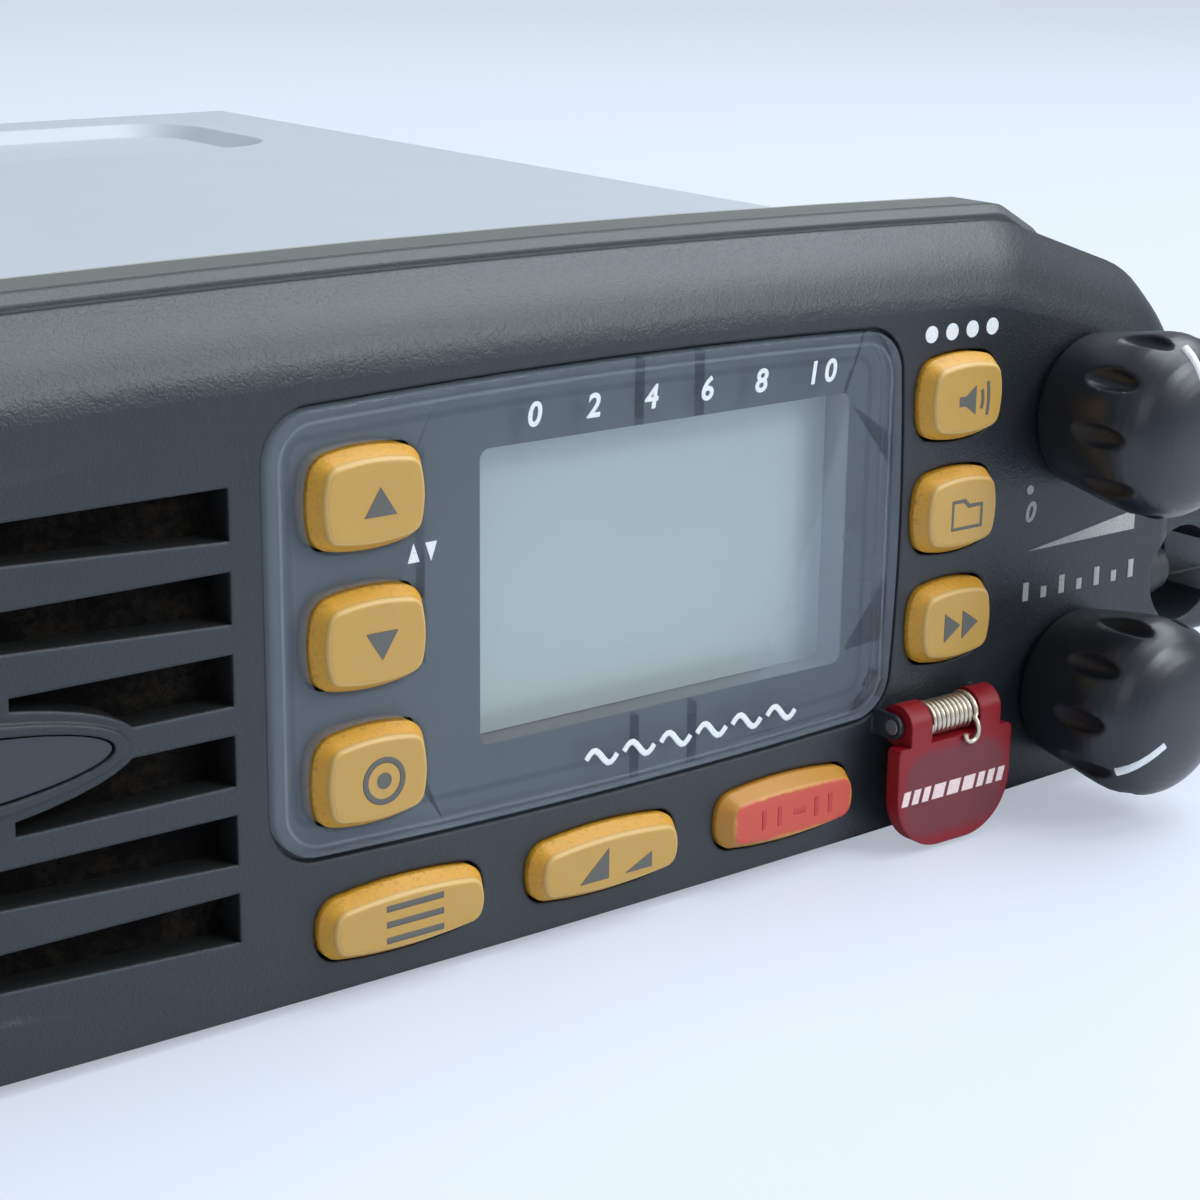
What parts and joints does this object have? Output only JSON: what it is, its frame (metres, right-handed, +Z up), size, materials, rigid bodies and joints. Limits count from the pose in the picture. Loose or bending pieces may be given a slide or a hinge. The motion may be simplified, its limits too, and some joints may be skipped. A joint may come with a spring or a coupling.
{
  "type": "fixed-mount vhf marine radio",
  "caption": "Fixed-mount marine radio with a wide front unit, speaker grille, display window, press keys, two turning knobs and a sprung distress cover on a box-shaped case.",
  "frame": {"origin": "middle of the whole radio's footprint, on the surface that it rests on", "axes": "+X to the user's right, +Y from the front face back into the radio, +Z up"},
  "size_m": [0.209, 0.1908, 0.0641],
  "materials": {
    "bezel_plastic": "moulded, fine grain",
    "housing_plastic": "moulded satin",
    "case_plastic": "smooth satin",
    "seal_rubber": "smooth",
    "screw_steel": "plain",
    "lens_clear": "polished",
    "mask_print": "printed film",
    "holder_plastic": "moulded",
    "lcd_glass": "polished",
    "diffuser_plastic": "frosted",
    "mat_rubber": "smooth",
    "circuit_board": "solder mask",
    "pot_metal": "plated",
    "knob_plastic": "satin",
    "cover_plastic": "tinted, slightly clear",
    "spring_wire": "drawn wire",
    "key_plastic": "satin",
    "red_key_plastic": "satin",
    "badge_metal": "satin",
    "speaker_cloth": "woven",
    "speaker_metal": "pressed",
    "cone_paper": "pulp",
    "magnet_ferrite": "ground",
    "gland_rubber": "smooth",
    "brass_fittings": "turned",
    "heat_sink_metal": "die cast, dark",
    "socket_metal": "nickel plated",
    "insulator_plastic": "moulded",
    "shield_tin": "tinned",
    "module_resin": "moulded",
    "capacitor_sleeve": "shrunk sleeve",
    "ribbon_film": "film"
  },
  "bodies": {
    "radio": {"antenna_contact": "brass_fittings", "antenna_insulator": "insulator_plastic", "antenna_socket": "socket_metal", "badge_plate": "badge_metal", "board_screws": "screw_steel", "bracket_inserts": "brass_fittings", "case_gasket": "seal_rubber", "case_screws": "screw_steel", "cover_hinge_pin": "screw_steel", "cover_spring": "spring_wire", "display_lens": "lens_clear", "filter_capacitors": "capacitor_sleeve", "front_bezel": "bezel_plastic", "front_board": "circuit_board", "front_gasket": "seal_rubber", "front_housing": "housing_plastic", "front_ribbon": "ribbon_film", "heat_sink": "heat_sink_metal", "heat_sink_gasket": "seal_rubber", "heat_sink_screws": "screw_steel", "housing_screws": "screw_steel", "keypad_mat": "mat_rubber", "lcd_backlight": "diffuser_plastic", "lcd_glass": "lcd_glass", "lcd_holder": "holder_plastic", "lens_mask": "mask_print", "main_board": "circuit_board", "mic_cord_gland": "gland_rubber", "pot_nuts": "screw_steel", "pot_washers": "screw_steel", "power_lead_gland": "gland_rubber", "power_module": "module_resin", "rear_case": "case_plastic", "rf_shield": "shield_tin", "signal_lead_glands": "gland_rubber", "socket_screws": "screw_steel", "speaker_cloth": "speaker_cloth", "speaker_cone": "cone_paper", "speaker_frame": "speaker_metal", "speaker_magnet": "magnet_ferrite", "squelch_pot": "pot_metal", "synthesizer_shield": "shield_tin", "tuned_coils": "shield_tin", "volume_pot": "pot_metal"},
    "volume_control": {"volume_knob": "knob_plastic", "volume_shaft": "pot_metal"},
    "squelch_control": {"squelch_knob": "knob_plastic", "squelch_shaft": "pot_metal"},
    "distress_flap": {"distress_cover": "cover_plastic"},
    "key_up_cap": {"key_up": "key_plastic"},
    "key_down_cap": {"key_down": "key_plastic"},
    "key_select_cap": {"key_select": "key_plastic"},
    "key_menu_cap": {"key_menu": "key_plastic"},
    "key_power_level_cap": {"key_power_level": "key_plastic"},
    "key_quick_channel_cap": {"key_quick_channel": "key_plastic"},
    "key_hailer_cap": {"key_hailer": "key_plastic"},
    "key_memory_cap": {"key_memory": "key_plastic"},
    "key_scan_cap": {"key_scan": "key_plastic"},
    "distress_button_cap": {"distress_button": "red_key_plastic"}
  },
  "joints": [
    {"name": "volume_turn", "type": "hinge", "parent": "radio", "child": "volume_control", "pos_m": [0.07415, -0.0784, 0.0422], "axis": [0, 1, 0], "range_deg": [-178, 102]},
    {"name": "squelch_turn", "type": "hinge", "parent": "radio", "child": "squelch_control", "pos_m": [0.07415, -0.0784, 0.0125], "axis": [0, 1, 0], "range_deg": [-28, 252]},
    {"name": "distress_cover_lift", "type": "hinge", "parent": "radio", "child": "distress_flap", "pos_m": [0.05265, -0.0812, 0.0135], "axis": [-1, 0, 0], "range_deg": [0, 110], "stiffness_Nm_per_rad": 0.004, "springref_deg": -28.65, "deforming": ["cover_spring"]},
    {"name": "key_up_press", "type": "slide", "parent": "radio", "child": "key_up_cap", "axis": [0, 1, 0], "range_m": [0, 0.0008], "stiffness_N_per_m": 900, "springref_m": -0.0004},
    {"name": "key_down_press", "type": "slide", "parent": "radio", "child": "key_down_cap", "axis": [0, 1, 0], "range_m": [0, 0.0008], "stiffness_N_per_m": 900, "springref_m": -0.0004},
    {"name": "key_select_press", "type": "slide", "parent": "radio", "child": "key_select_cap", "axis": [0, 1, 0], "range_m": [0, 0.0008], "stiffness_N_per_m": 900, "springref_m": -0.0004},
    {"name": "key_menu_press", "type": "slide", "parent": "radio", "child": "key_menu_cap", "axis": [0, 1, 0], "range_m": [0, 0.0008], "stiffness_N_per_m": 900, "springref_m": -0.0004},
    {"name": "key_power_level_press", "type": "slide", "parent": "radio", "child": "key_power_level_cap", "axis": [0, 1, 0], "range_m": [0, 0.0008], "stiffness_N_per_m": 900, "springref_m": -0.0004},
    {"name": "key_quick_channel_press", "type": "slide", "parent": "radio", "child": "key_quick_channel_cap", "axis": [0, 1, 0], "range_m": [0, 0.0008], "stiffness_N_per_m": 900, "springref_m": -0.0004},
    {"name": "key_hailer_press", "type": "slide", "parent": "radio", "child": "key_hailer_cap", "axis": [0, 1, 0], "range_m": [0, 0.0008], "stiffness_N_per_m": 900, "springref_m": -0.0004},
    {"name": "key_memory_press", "type": "slide", "parent": "radio", "child": "key_memory_cap", "axis": [0, 1, 0], "range_m": [0, 0.0008], "stiffness_N_per_m": 900, "springref_m": -0.0004},
    {"name": "key_scan_press", "type": "slide", "parent": "radio", "child": "key_scan_cap", "axis": [0, 1, 0], "range_m": [0, 0.0008], "stiffness_N_per_m": 900, "springref_m": -0.0004},
    {"name": "distress_button_press", "type": "slide", "parent": "radio", "child": "distress_button_cap", "axis": [0, 1, 0], "range_m": [0, 0.0008], "stiffness_N_per_m": 900, "springref_m": -0.0004}
  ]
}
